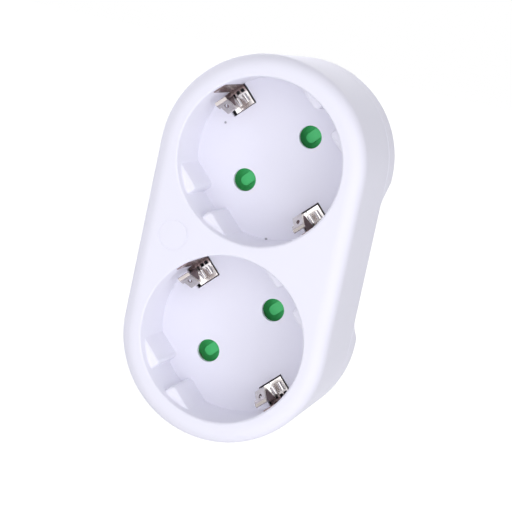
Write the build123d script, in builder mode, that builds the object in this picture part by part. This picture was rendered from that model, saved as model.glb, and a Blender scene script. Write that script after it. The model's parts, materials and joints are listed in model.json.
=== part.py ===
from build123d import *
import os
from math import cos, radians, sin, tan

os.makedirs("parts", exist_ok=True)

# Two-way earthed socket adapter, in millimetres.
# The front faces -Y, +Z is up along the two sockets, and the plug stands out of the back along +Y.
# The origin is the middle of the plug on the back face. Depths are counted back from the front face.

# Sockets
recess_diameter = 39.0
recess_depth = 17.5
recess_wall = 1.8
recess_turn = 45.0
rim_edge_radius = 0.5
floor_thickness = 1.2
pin_pitch = 19.0
pin_hole_diameter = 5.5
lug_height = 2.7
lug_drop = 3.0
lug_slot = 6.0
lug_edge_radius = 0.7
lug_corner_radius = 1.0

# Housing
rim_width = 5.3
web_width = 3.2
body_depth = 40.0
draft_angle = 1.03
front_edge_radius = 3.5
front_wall = 2.5
housing_wall = 2.0
rear_wall = 1.5
parting_depth = 31.0
seam_chamfer = 0.25
rear_edge_radius = 1.5
lip_height = 2.0
lip_thickness = 1.2
lip_clearance = 0.1
mark_diameter = 7.4
mark_groove = 0.4
mark_depth = 0.25
mark_offset = 16.4

# Finger grips on the long sides of the rear housing
grip_depth = 3.5
grip_length = 31.0
grip_run_out = 5.0
grip_corner_radius = 2.5
grip_ledge = 1.5

# Plug on the back
plug_diameter = 36.8
plug_length = 17.0
plug_edge_radius = 1.0
plug_key_clearance = 0.3
plug_pin_diameter = 4.8
plug_pin_length = 19.0
plug_pin_tip_radius = 1.6
plug_pin_shank = 4.2
pin_seat_clearance = 0.05

# Metal strips
strip_thickness = 0.6
strip_bend_radius = 0.9
rivet_diameter = 2.0
rivet_head_diameter = 3.4
rivet_head_height = 0.5
rivet_clearance = 0.05

# Earth clips
clip_width = 5.0
clip_offset = -0.38
clip_window_length = 5.6
clip_window_gap = 0.72
clip_foot_inset = 0.4
clip_slot_gap = 0.2
riser_inset = 0.3
riser_top_depth = 2.4
leaf_width = 2.5
leaf_base_width = 1.6
leaf_slit = 0.3
leaf_ear = 0.5
leaf_ear_height = 1.2
leaf_foot_inset = 0.8
knee_inset = 5.35
knee_depth = 11.0
knee_radius = 1.3
flare_inset = 2.5
flare_depth = 7.0
lip_length = 0.7
leaf_hole_diameter = 0.9
leaf_hole_inset = 3.6
bead_radius = 0.65
bead_offset = 0.3
bead_spacing = 2.0
bead_length = 2.1
bead_inset = 1.0
relief_size = 0.9
relief_spacing = 1.2

# Earth bridge and the plug's side contacts
bridge_width = 5.0
bridge_overhang = 3.0
side_contact_width = 5.0
side_contact_reach = 16.3
side_contact_foot = 8.3
side_contact_end = 3.0
side_rivet_inset = 2.7

# Shutters
shutter_clearance = 0.25
shutter_thickness = 5.0
shutter_width = 8.8
shutter_rail = 1.3
shutter_end = 0.9
shutter_bridge = 1.0
travel_margin = 0.1
ramp_overlap = 0.25
ramp_toe = 0.8
ramp_drop = 3.4
aperture_margin = 0.35
tongue_width = 2.4
tongue_nose = 1.6
tongue_nose_flat = 0.2
tongue_drop = 1.2
guide_gap = 0.5
guide_wall = 1.2
guide_base = 1.2
post_length = 1.2
post_width = 3.6
spring_diameter = 3.2
spring_wire = 0.4
spring_turns = 6
spring_solid_length = 2.6

# Pin contacts and bus bars
bar_thickness = 0.8
bar_width = 4.4
bar_pad_diameter = 7.0
contact_width = 4.8
contact_base = 6.0
contact_grip = 4.2
contact_mouth = 6.4
contact_mouth_gap = 1.4
contact_grip_drop = 3.0

# Housing screws
screw_spacing = 73.0
screw_diameter = 2.6
screw_hole_clearance = 0.1
screw_end_gap = 2.3
screw_head_diameter = 5.0
screw_head_height = 1.8
screw_head_recess = 4.0
boss_diameter = 6.6

# Worked-out sizes
recess_radius = recess_diameter / 2
body_radius = recess_radius + rim_width
body_width = 2 * body_radius
socket_pitch = recess_diameter + web_width
socket_heights = {"upper": socket_pitch / 2, "lower": -socket_pitch / 2}
hole_radius = pin_hole_diameter / 2
hole_reach = pin_pitch / 2
lug_reach = recess_radius - lug_height
floor_back = recess_depth + floor_thickness
cavity_radius = body_radius - parting_depth * tan(radians(draft_angle)) - housing_wall
rear_inside = body_depth - rear_wall
foot_reach = recess_radius - riser_inset
leaf_left = clip_offset - clip_width / 2
riser_left = leaf_left + leaf_base_width + leaf_slit
riser_right = clip_offset + clip_width / 2
slot_top = riser_top_depth - clip_slot_gap
slot_back = foot_reach + strip_thickness + clip_slot_gap
plug_radius = plug_diameter / 2
plug_end = body_depth + plug_length
cut_margin = 1.0

pin_line = Vector(cos(radians(recess_turn)), 0, sin(radians(recess_turn)))
earth_line = Vector(-sin(radians(recess_turn)), 0, cos(radians(recess_turn)))


def outline_radius(depth):
    """Radius of the housing's round ends at a depth behind the front face."""
    return body_radius - depth * tan(radians(draft_angle))


def front_plane(depth):
    """Plane parallel to the front face at a depth, x to the right and y up, facing the front."""
    return Plane(origin=(0, depth - body_depth, 0), x_dir=(1, 0, 0), z_dir=(0, -1, 0))


def socket_plane(depth, height):
    """As front_plane, on a socket's axis: x runs along its pin line and y along its earth line."""
    return Plane(origin=(0, depth - body_depth, height), x_dir=pin_line, z_dir=(0, -1, 0))


def pin_section(height):
    """Plane through a socket's axis and its pin line: x along the line and y into the depth."""
    return Plane(origin=(0, -body_depth, height), x_dir=pin_line, z_dir=earth_line)


def earth_section(height, along):
    """Plane along a socket's earth line, moved along its pin line: x on the line and y into the depth."""
    origin = Vector(0, -body_depth, height) + pin_line * along
    return Plane(origin=origin, x_dir=earth_line, z_dir=-pin_line)


def across_section(x, height):
    """Level plane at a point of the front: x to the right of it and y into the depth."""
    return Plane(origin=(x, -body_depth, height), x_dir=(1, 0, 0), z_dir=(0, 0, 1))


side_section = Plane(origin=(0, -body_depth, 0), x_dir=(0, 0, 1), z_dir=(-1, 0, 0))


def hole_point(height, side):
    """Front view place of a pin hole: side is -1 for the left one and 1 for the right one."""
    place = pin_line * (side * hole_reach)
    return (place.X, height + place.Z)


# Front housing: a drafted skirt with two round cups, open at the back
screw_points = [(0, screw_spacing / 2), (0, -screw_spacing / 2)]
grip_inside = outline_radius(body_depth) - grip_depth - housing_wall

with BuildPart() as front_housing:
    with BuildSketch(front_plane(0)):
        SlotCenterToCenter(socket_pitch, body_width, rotation=90)
    extrude(amount=-parting_depth, taper=draft_angle)
    fillet(faces().sort_by(Axis.Y)[0].edges(), front_edge_radius)
    chamfer(faces().sort_by(Axis.Y)[-1].edges(), seam_chamfer)
    with BuildSketch(front_plane(front_wall)):
        SlotCenterToCenter(socket_pitch, 2 * cavity_radius, rotation=90)
    extrude(amount=front_wall - parting_depth, mode=Mode.SUBTRACT)
    with BuildSketch(front_plane(front_wall / 2)):
        with Locations(*[(0, height) for height in socket_heights.values()]):
            Circle(recess_radius + recess_wall)
    extrude(amount=front_wall / 2 - floor_back)
    with BuildSketch(front_plane(0)):
        with Locations(*[(0, height) for height in socket_heights.values()]):
            Circle(recess_radius)
    extrude(amount=-recess_depth, mode=Mode.SUBTRACT)
    fillet(faces().sort_by(Axis.Y)[0].inner_wires().edges(), rim_edge_radius)
    with BuildSketch(front_plane(0)):
        with Locations((-mark_offset, 0)):
            Circle(mark_diameter / 2)
            Circle(mark_diameter / 2 - mark_groove, mode=Mode.SUBTRACT)
    extrude(amount=-mark_depth, mode=Mode.SUBTRACT)
    for height in socket_heights.values():
        with BuildSketch(socket_plane(lug_drop, height)):
            Circle(recess_radius + recess_wall / 2)
            Rectangle(2 * lug_reach, recess_diameter + recess_wall, mode=Mode.SUBTRACT)
            Rectangle(recess_diameter + recess_wall, lug_slot, mode=Mode.SUBTRACT)
            fillet(vertices().sort_by_distance((0, 0))[:4], lug_corner_radius)
        extrude(amount=lug_drop - recess_depth)
        lug_front = lug_drop - body_depth
        low, high = height - recess_radius, height + recess_radius
        lug_edges = edges().filter_by_position(Axis.Y, lug_front, lug_front)
        lug_edges = lug_edges.filter_by_position(Axis.Z, low, high)
        fillet(lug_edges.filter_by(lambda edge: edge.length < lug_height * 4), lug_edge_radius)
        with BuildSketch(socket_plane(recess_depth, height)):
            with Locations((-hole_reach, 0), (hole_reach, 0)):
                Circle(hole_radius)
            window_middle = recess_radius - clip_window_length / 2
            with Locations((clip_offset, window_middle), (clip_offset, -window_middle)):
                Rectangle(clip_width + 2 * clip_window_gap, clip_window_length)
        extrude(amount=-floor_thickness, mode=Mode.SUBTRACT)
        with BuildSketch(socket_plane(slot_top, height)):
            with GridLocations(0, 2 * slot_back - clip_window_length, 1, 2):
                with Locations(((riser_left + riser_right) / 2, 0)):
                    Rectangle(riser_right - riser_left + 2 * clip_slot_gap, clip_window_length)
        extrude(amount=slot_top - floor_back, mode=Mode.SUBTRACT)
    with BuildSketch(front_plane(floor_back)):
        with Locations(*screw_points):
            Circle(boss_diameter / 2)
    extrude(amount=floor_back - parting_depth)
    with BuildSketch(front_plane(floor_back)):
        with Locations(*screw_points):
            Circle(screw_diameter / 2 + screw_hole_clearance)
    extrude(amount=floor_back - parting_depth, mode=Mode.SUBTRACT)
    with BuildSketch(front_plane(parting_depth)):
        SlotCenterToCenter(socket_pitch, 2 * cavity_radius + housing_wall, rotation=90)
        Rectangle(body_width, grip_length + 2 * grip_run_out, mode=Mode.INTERSECT)
        Rectangle(2 * grip_inside, body_width, mode=Mode.SUBTRACT)
    extrude(amount=grip_ledge)

front_housing.part.label = "front_housing"
export_step(front_housing.part, "parts/front_housing.step")

# Rear housing: a shallow tray with finger grips, a locating lip and the plug body
key_reach = lug_reach - plug_key_clearance
key_width = lug_slot - 2 * plug_key_clearance
side_channel = side_contact_reach - strip_thickness
lip_radius = cavity_radius - lip_clearance

with BuildPart() as rear_housing:
    with BuildSketch(front_plane(parting_depth)):
        SlotCenterToCenter(socket_pitch, 2 * outline_radius(parting_depth), rotation=90)
    extrude(amount=parting_depth - body_depth, taper=draft_angle)
    fillet(faces().sort_by(Axis.Y)[-1].edges(), rear_edge_radius)
    chamfer(faces().sort_by(Axis.Y)[0].edges(), seam_chamfer)
    grip_wall = grip_inside + housing_wall
    grip_end = grip_length / 2 + grip_run_out
    for side in (-1, 1):
        with BuildSketch(side_section.offset(-side * grip_wall)):
            with BuildLine():
                FilletPolyline(
                    (-grip_end - grip_run_out, body_depth),
                    (-grip_end, body_depth),
                    (-grip_length / 2, parting_depth),
                    (grip_length / 2, parting_depth),
                    (grip_end, body_depth),
                    (grip_end + grip_run_out, body_depth),
                    (grip_end + grip_run_out, plug_end),
                    (-grip_end - grip_run_out, plug_end),
                    radius=grip_corner_radius,
                    close=True,
                )
            make_face()
        extrude(amount=-side * body_width, mode=Mode.SUBTRACT)
    with BuildSketch(front_plane(parting_depth)):
        SlotCenterToCenter(socket_pitch, 2 * cavity_radius, rotation=90)
        Rectangle(2 * grip_inside, body_width + socket_pitch, mode=Mode.INTERSECT)
    extrude(amount=parting_depth - rear_inside, mode=Mode.SUBTRACT)
    with BuildSketch(front_plane(parting_depth)):
        SlotCenterToCenter(socket_pitch, 2 * lip_radius, rotation=90)
        SlotCenterToCenter(socket_pitch, 2 * (lip_radius - lip_thickness), rotation=90, mode=Mode.SUBTRACT)
        Rectangle(body_width, grip_length + 2 * grip_run_out + 2 * cut_margin, mode=Mode.SUBTRACT)
    extrude(amount=lip_height)
    with BuildSketch(front_plane(parting_depth)):
        with Locations(*screw_points):
            Circle(boss_diameter / 2)
    extrude(amount=parting_depth - body_depth)
    with BuildSketch(front_plane(rear_inside)):
        Circle(plug_radius)
        with GridLocations(2 * key_reach + plug_diameter, plug_diameter, 2, 2):
            Rectangle(plug_diameter, plug_diameter - key_width, mode=Mode.SUBTRACT)
    extrude(amount=rear_inside - plug_end)
    fillet(faces().sort_by(Axis.Y)[-1].edges(), plug_edge_radius)
    with BuildSketch(front_plane(plug_end)):
        with GridLocations(0, 2 * side_channel + plug_diameter, 1, 2):
            Rectangle(side_contact_width + 2 * cut_margin, plug_diameter)
    extrude(amount=plug_length, mode=Mode.SUBTRACT)
    with BuildSketch(front_plane(rear_inside)):
        with GridLocations(0, 2 * side_contact_reach - strip_thickness, 1, 2):
            Rectangle(side_contact_width + 2 * lip_clearance, strip_thickness + 2 * lip_clearance)
    extrude(amount=-rear_wall, mode=Mode.SUBTRACT)
    with BuildSketch(front_plane(rear_inside)):
        with GridLocations(pin_pitch, 0, 2, 1):
            Circle(plug_pin_shank / 2 + pin_seat_clearance)
    extrude(amount=rear_inside - plug_end, mode=Mode.SUBTRACT)
    with Locations(*[Plane(origin=(x, 0, z), z_dir=(0, 1, 0)) for x, z in screw_points]):
        CounterBoreHole(
            screw_diameter / 2 + screw_hole_clearance,
            screw_head_diameter / 2 + screw_hole_clearance,
            screw_head_recess,
        )

rear_housing.part.label = "rear_housing"
export_step(rear_housing.part, "parts/rear_housing.step")

# Earth clips: one strip per socket, dipping behind the shutter guide and rising as a clip at each end
shutter_front = floor_back + shutter_clearance
shutter_back = shutter_front + shutter_thickness
guide_front = shutter_back + shutter_clearance
guide_back = guide_front + guide_base
guide_width = shutter_width + 2 * shutter_clearance + 2 * guide_wall
dip_back = guide_back + strip_thickness
dip_half = guide_width / 2 + cut_margin
foot_start = recess_radius - clip_window_length + clip_foot_inset
foot_end = foot_start + bead_inset + bead_length
leaf_right = leaf_left + leaf_width
rivet_hole_radius = rivet_diameter / 2 + rivet_clearance


def leaf_path(sign):
    """Points of a leaf's front face from the foot up to the knee and out again to the lip."""
    points = [
        (foot_start, floor_back),
        (foot_reach - leaf_foot_inset, floor_back),
        (recess_radius - knee_inset, knee_depth),
        (recess_radius - flare_inset, flare_depth),
        (recess_radius - flare_inset + lip_length, flare_depth - lip_length / 3),
    ]
    return [(sign * reach, depth) for reach, depth in points][::sign]


def riser_path(sign):
    """Points of the strip's front face from the foot to the top of the riser in the wall's slot."""
    points = [(foot_start, floor_back), (foot_reach, floor_back), (foot_reach, riser_top_depth)]
    return [(sign * reach, depth) for reach, depth in points][::sign]


for name, height in socket_heights.items():
    with BuildPart() as earth_clip:
        # The leaf is cut back to its base at the right, and below its ear at the left
        for sign in (-1, 1):
            with BuildSketch(earth_section(height, (leaf_left - leaf_ear + leaf_right) / 2)):
                with BuildLine():
                    bends = [strip_bend_radius, knee_radius, strip_bend_radius][::sign]
                    leaf = FilletPolyline(*leaf_path(sign), radius=bends)
                    offset(leaf, amount=strip_thickness, side=Side.LEFT)
                make_face()
            extrude(amount=(leaf_width + leaf_ear) / 2, both=True)
        leaf_end = floor_back + 2 * strip_thickness
        with BuildSketch(pin_section(height)):
            Polygon(
                (leaf_right, knee_depth + knee_radius),
                (leaf_left + leaf_base_width, floor_back - strip_bend_radius),
                (leaf_left + leaf_base_width, leaf_end),
                (leaf_right + cut_margin, leaf_end),
                (leaf_right + cut_margin, knee_depth + knee_radius),
                align=None,
            )
            with Locations((leaf_left, leaf_end)):
                Rectangle(
                    leaf_ear + cut_margin,
                    leaf_end - flare_depth - leaf_ear_height,
                    align=(Align.MAX, Align.MAX),
                )
        extrude(amount=recess_diameter, both=True, mode=Mode.SUBTRACT)
        with BuildSketch(earth_section(height, clip_offset)):
            with BuildLine():
                dip = FilletPolyline(
                    (-foot_end, floor_back),
                    (-foot_start, floor_back),
                    (-dip_half, guide_back),
                    (dip_half, guide_back),
                    (foot_start, floor_back),
                    (foot_end, floor_back),
                    radius=strip_bend_radius,
                )
                offset(dip, amount=strip_thickness, side=Side.LEFT)
            make_face()
        extrude(amount=clip_width / 2, both=True)
        for sign in (-1, 1):
            with BuildSketch(earth_section(height, (riser_left + riser_right) / 2)):
                with BuildLine():
                    riser = FilletPolyline(*riser_path(sign), radius=strip_bend_radius)
                    offset(riser, amount=strip_thickness, side=Side.LEFT)
                make_face()
            extrude(amount=(riser_right - riser_left) / 2, both=True)
            with BuildSketch(socket_plane(0, height)):
                with Locations(((leaf_left + leaf_right) / 2, sign * (recess_radius - leaf_hole_inset))):
                    Circle(leaf_hole_diameter / 2)
            extrude(amount=-knee_depth, mode=Mode.SUBTRACT)
            bead_middle = foot_start + bead_inset + bead_length / 2
            with BuildSketch(pin_section(height).offset(sign * bead_middle)):
                with Locations((clip_offset + bead_offset, floor_back + strip_thickness / 2)):
                    with GridLocations(bead_spacing, 0, 2, 1):
                        Circle(bead_radius)
                    Rectangle(clip_width, bead_radius, align=(Align.CENTER, Align.MIN), mode=Mode.SUBTRACT)
            extrude(amount=bead_length / 2, both=True)
            with BuildSketch(socket_plane(floor_back - strip_bend_radius / 2, height)):
                with Locations(((riser_left + riser_right) / 2, sign * (foot_reach - strip_bend_radius))):
                    with GridLocations(relief_spacing, 0, 2, 1):
                        Rectangle(relief_size, relief_size)
            extrude(amount=-strip_thickness - strip_bend_radius / 2, mode=Mode.SUBTRACT)
        with BuildSketch(socket_plane(guide_back, height)):
            Circle(rivet_hole_radius)
        extrude(amount=-strip_thickness, mode=Mode.SUBTRACT)

    earth_clip.part.label = f"earth_clip_{name}"
    export_step(earth_clip.part, f"parts/earth_clip_{name}.step")

# Earth bridge: a flat strip behind both earth strips
bridge_back = dip_back + strip_thickness
side_rivet_height = side_contact_foot + side_rivet_inset

with BuildPart() as earth_bridge:
    with BuildSketch(front_plane(dip_back)):
        Rectangle(bridge_width, socket_pitch + 2 * bridge_overhang)
        with GridLocations(0, socket_pitch, 1, 2):
            Circle(rivet_hole_radius, mode=Mode.SUBTRACT)
        with GridLocations(0, 2 * side_rivet_height, 1, 2):
            Circle(rivet_hole_radius, mode=Mode.SUBTRACT)
    extrude(amount=-strip_thickness)

earth_bridge.part.label = "earth_bridge"
export_step(earth_bridge.part, "parts/earth_bridge.step")

# Side contacts of the plug: an angle riveted to the bridge, with its leg in the plug body's channel
for name, sign, inward in (("top", 1, Side.LEFT), ("bottom", -1, Side.RIGHT)):
    with BuildPart() as side_contact:
        with BuildSketch(side_section):
            with BuildLine():
                leg = FilletPolyline(
                    (sign * side_contact_foot, bridge_back),
                    (sign * side_contact_reach, bridge_back),
                    (sign * side_contact_reach, plug_end - side_contact_end),
                    radius=strip_bend_radius,
                )
                offset(leg, amount=strip_thickness, side=inward)
            make_face()
        extrude(amount=side_contact_width / 2, both=True)
        with BuildSketch(front_plane(bridge_back)):
            with Locations((0, sign * side_rivet_height)):
                Circle(rivet_hole_radius)
        extrude(amount=-strip_thickness, mode=Mode.SUBTRACT)

    side_contact.part.label = f"plug_earth_contact_{name}"
    export_step(side_contact.part, f"parts/plug_earth_contact_{name}.step")

# Rivets of the bridge: two flush ones at the sockets and two headed ones at the side contacts
with BuildPart() as earth_rivets:
    with BuildSketch(front_plane(guide_back)):
        with GridLocations(0, socket_pitch, 1, 2):
            Circle(rivet_diameter / 2)
    extrude(amount=-2 * strip_thickness)
    with BuildSketch(front_plane(bridge_back)):
        with GridLocations(0, socket_pitch, 1, 2):
            Circle(rivet_head_diameter / 2)
    extrude(amount=-rivet_head_height)
    with BuildSketch(front_plane(dip_back)):
        with GridLocations(0, 2 * side_rivet_height, 1, 2):
            Circle(rivet_diameter / 2)
    extrude(amount=-2 * strip_thickness)
    with BuildSketch(front_plane(dip_back), front_plane(bridge_back + strip_thickness + rivet_head_height)):
        with GridLocations(0, 2 * side_rivet_height, 1, 2):
            Circle(rivet_head_diameter / 2)
    extrude(amount=rivet_head_height)

earth_rivets.part.label = "earth_rivets"
export_step(earth_rivets.part, "parts/earth_rivets.step")

# Shutters: a green slide behind the floor, with a ramp under each pin hole; a plug's pins push it along
# the pin line until its left end and its aperture have cleared the holes
shutter_travel = pin_hole_diameter + ramp_toe + travel_margin
ramp_run = pin_hole_diameter + ramp_overlap + ramp_toe
shutter_left = -hole_reach - hole_radius - ramp_toe
shutter_right = hole_reach + hole_radius + ramp_overlap + shutter_end
slot_half = shutter_width / 2 - shutter_rail
slot_start = -hole_reach + hole_radius + ramp_overlap + shutter_bridge
post_start = slot_start + shutter_travel + spring_solid_length
aperture_start = hole_reach - hole_radius - shutter_travel - aperture_margin
aperture_end = hole_reach - hole_radius - ramp_toe

for name, height in socket_heights.items():
    with BuildPart() as shutter:
        with BuildSketch(pin_section(height)):
            with BuildLine():
                Polyline(
                    (shutter_left, shutter_front),
                    (shutter_right, shutter_front),
                    (shutter_right, shutter_back),
                    (shutter_left, shutter_back),
                    close=True,
                )
            make_face()
        extrude(amount=shutter_width / 2, both=True)
        with BuildSketch(pin_section(height)):
            for hole in (-hole_reach, hole_reach):
                ramp_top = hole + hole_radius + ramp_overlap
                ramp_foot = ramp_top - ramp_run
                Polygon(
                    (ramp_top, shutter_front),
                    (ramp_foot, shutter_front + ramp_drop),
                    (ramp_foot, shutter_front),
                    align=None,
                )
        extrude(amount=slot_half, both=True, mode=Mode.SUBTRACT)
        with BuildSketch(socket_plane(shutter_front, height)):
            with Locations((aperture_start, 0)):
                Rectangle(aperture_end - aperture_start, 2 * slot_half, align=(Align.MIN, Align.CENTER))
            with Locations((slot_start, 0)):
                Rectangle(
                    aperture_end - slot_start,
                    post_width + 2 * shutter_clearance,
                    align=(Align.MIN, Align.CENTER),
                )
        extrude(amount=-shutter_thickness, mode=Mode.SUBTRACT)
        with BuildSketch(pin_section(height)):
            for hole in (-hole_reach, hole_reach):
                ramp_top = hole + hole_radius + ramp_overlap
                nose_depth = ramp_drop * (ramp_top - hole + tongue_nose) / ramp_run
                Polygon(
                    (ramp_top, shutter_front),
                    (hole - tongue_nose, shutter_front + tongue_drop),
                    (hole - tongue_nose, shutter_front + nose_depth),
                    align=None,
                )
        extrude(amount=tongue_width / 2, both=True)
        fillet(edges(Select.LAST).filter_by(Axis.Y), (tongue_width - tongue_nose_flat) / 2)

    shutter.part.label = f"shutter_{name}"
    export_step(shutter.part, f"parts/shutter_{name}.step")

# Shutter guides: a channel seated on the back of the floor, with a post for the spring
guide_left = shutter_left - shutter_clearance - guide_wall
guide_right = shutter_right + shutter_travel + shutter_clearance + guide_wall

for name, height in socket_heights.items():
    with BuildPart() as guide:
        with BuildSketch(socket_plane(floor_back, height)):
            with Locations((guide_left, 0)):
                Rectangle(guide_right - guide_left, guide_width, align=(Align.MIN, Align.CENTER))
            Circle(cavity_radius - guide_gap, mode=Mode.INTERSECT)
        extrude(amount=floor_back - guide_back)
        with BuildSketch(socket_plane(floor_back, height)):
            with Locations((guide_left + guide_wall, 0)):
                Rectangle(
                    guide_right - guide_left - 2 * guide_wall,
                    guide_width - 2 * guide_wall,
                    align=(Align.MIN, Align.CENTER),
                )
        extrude(amount=floor_back - guide_front, mode=Mode.SUBTRACT)
        with BuildSketch(socket_plane(guide_front, height)):
            with Locations((post_start, 0)):
                Rectangle(post_length, post_width, align=(Align.MIN, Align.CENTER))
        extrude(amount=shutter_thickness)
        with BuildSketch(socket_plane(guide_front, height)):
            with GridLocations(pin_pitch, 0, 2, 1):
                Circle(hole_radius + shutter_clearance)
        extrude(amount=-guide_base, mode=Mode.SUBTRACT)

    guide.part.label = f"shutter_guide_{name}"
    export_step(guide.part, f"parts/shutter_guide_{name}.step")

# Shutter springs: a coil between the end of the shutter's slot and the guide's post
for name, height in socket_heights.items():
    coil_start = Vector(0, shutter_front + shutter_thickness / 2 - body_depth, height)
    coil_start += pin_line * (slot_start + spring_wire / 2)
    coil_height = post_start - slot_start - spring_wire
    with BuildPart() as spring:
        with BuildLine() as coil:
            Helix(
                pitch=coil_height / spring_turns,
                height=coil_height,
                radius=(spring_diameter - spring_wire) / 2,
                center=coil_start,
                direction=pin_line,
            )
        with BuildSketch(Plane(origin=coil.line @ 0, z_dir=coil.line % 0)):
            Circle(spring_wire / 2)
        sweep(is_frenet=True)

    spring.part.label = f"shutter_spring_{name}"
    export_step(spring.part, f"parts/shutter_spring_{name}.step")

# Pin contacts: a fork for each pin, standing on its bus bar
bar_front = rear_inside - bar_thickness
base_front = bar_front - strip_thickness
mouth_depth = guide_back + contact_mouth_gap
grip_depth_back = mouth_depth + contact_grip_drop

for name, height in socket_heights.items():
    for side_name, side in (("left", -1), ("right", 1)):
        contact_x, contact_height = hole_point(height, side)
        with BuildPart() as contact:
            with BuildSketch(across_section(contact_x, contact_height)):
                with BuildLine():
                    fork = FilletPolyline(
                        (-contact_mouth / 2, mouth_depth),
                        (-contact_grip / 2, grip_depth_back),
                        (-contact_base / 2, base_front),
                        (contact_base / 2, base_front),
                        (contact_grip / 2, grip_depth_back),
                        (contact_mouth / 2, mouth_depth),
                        radius=strip_bend_radius,
                    )
                    offset(fork, amount=strip_thickness, side=Side.LEFT)
                make_face()
            extrude(amount=contact_width / 2, both=True)
            with BuildSketch(front_plane(base_front)):
                with Locations((contact_x, contact_height)):
                    Circle(rivet_hole_radius)
            extrude(amount=-strip_thickness, mode=Mode.SUBTRACT)

        contact.part.label = f"pin_contact_{name}_{side_name}"
        export_step(contact.part, f"parts/pin_contact_{name}_{side_name}.step")

# Bus bars: one for each pole, joining two contacts to a plug pin
stub_radius = rivet_diameter / 2 + rivet_head_height

for name, side in (("left", -1), ("right", 1)):
    ends = [hole_point(height, side) for height in socket_heights.values()]
    with BuildPart() as bus_bar:
        with BuildSketch(front_plane(bar_front)):
            bar_x = ends[0][0]
            with Locations((bar_x, (ends[0][1] + ends[1][1]) / 2)):
                Rectangle(bar_width, ends[0][1] - ends[1][1] + bar_width)
            with Locations((side * hole_reach, 0)):
                Circle(bar_pad_diameter / 2)
            with Locations(*ends):
                Circle(rivet_hole_radius, mode=Mode.SUBTRACT)
            with Locations((side * hole_reach, 0)):
                Circle(stub_radius + rivet_clearance, mode=Mode.SUBTRACT)
        extrude(amount=-bar_thickness)

    bus_bar.part.label = f"bus_bar_{name}"
    export_step(bus_bar.part, f"parts/bus_bar_{name}.step")

# Contact rivets: headed on the contact's side, flush with the bar's back
contact_points = [hole_point(height, side) for height in socket_heights.values() for side in (-1, 1)]

with BuildPart() as contact_rivets:
    with BuildSketch(front_plane(base_front)):
        with Locations(*contact_points):
            Circle(rivet_head_diameter / 2)
    extrude(amount=rivet_head_height)
    with BuildSketch(front_plane(base_front)):
        with Locations(*contact_points):
            Circle(rivet_diameter / 2)
    extrude(amount=-strip_thickness - bar_thickness)

contact_rivets.part.label = "contact_rivets"
export_step(contact_rivets.part, "parts/contact_rivets.step")

# Plug pins: round pins with a reduced shank through the plug body and a stub riveted over on the bar
for name, side in (("left", -1), ("right", 1)):
    pin_place = (side * hole_reach, 0)
    with BuildPart() as plug_pin:
        with BuildSketch(front_plane(plug_end)):
            with Locations(pin_place):
                Circle(plug_pin_diameter / 2)
        extrude(amount=-plug_pin_length)
        fillet(faces().sort_by(Axis.Y)[-1].edges(), plug_pin_tip_radius)
        with BuildSketch(front_plane(plug_end)):
            with Locations(pin_place):
                Circle(plug_pin_shank / 2)
        extrude(amount=plug_end - rear_inside)
        with BuildSketch(front_plane(rear_inside)):
            with Locations(pin_place):
                Circle(stub_radius)
        extrude(amount=bar_thickness)
        with BuildSketch(front_plane(bar_front)):
            with Locations(pin_place):
                Circle(stub_radius + rivet_head_height)
        extrude(amount=rivet_head_height)

    plug_pin.part.label = f"plug_pin_{name}"
    export_step(plug_pin.part, f"parts/plug_pin_{name}.step")

# Housing screws: pan heads in the rear counterbores, with a cross recess
screw_seat = body_depth - screw_head_recess
screw_length = screw_seat - floor_back - screw_end_gap

with BuildPart() as housing_screws:
    with BuildSketch(front_plane(screw_seat)):
        with Locations(*screw_points):
            Circle(screw_head_diameter / 2)
    extrude(amount=-screw_head_height)
    with BuildSketch(front_plane(screw_seat)):
        with Locations(*screw_points):
            Circle(screw_diameter / 2)
    extrude(amount=screw_length)
    with BuildSketch(front_plane(screw_seat + screw_head_height)):
        with Locations(*screw_points):
            Rectangle(screw_diameter, screw_diameter / 4)
            Rectangle(screw_diameter / 4, screw_diameter)
    extrude(amount=screw_head_height / 2, mode=Mode.SUBTRACT)

housing_screws.part.label = "housing_screws"
export_step(housing_screws.part, "parts/housing_screws.step")
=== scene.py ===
# %% [markdown]
# A two-way earthed socket adapter: a white moulded housing in two halves, with a round recess for a plug
# at each end of its front, and a plug of its own on the back. Every piece has already been measured and
# drawn as a solid. The pieces could be modelled again here, but two models of one thing drift apart. So
# the solids are loaded as a fixed frame, and this lesson gives them their light, their finishes and their
# finest pieces.

# %% Load the measured solids
import json
import math

import bpy
from mathutils import Matrix, Vector


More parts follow.
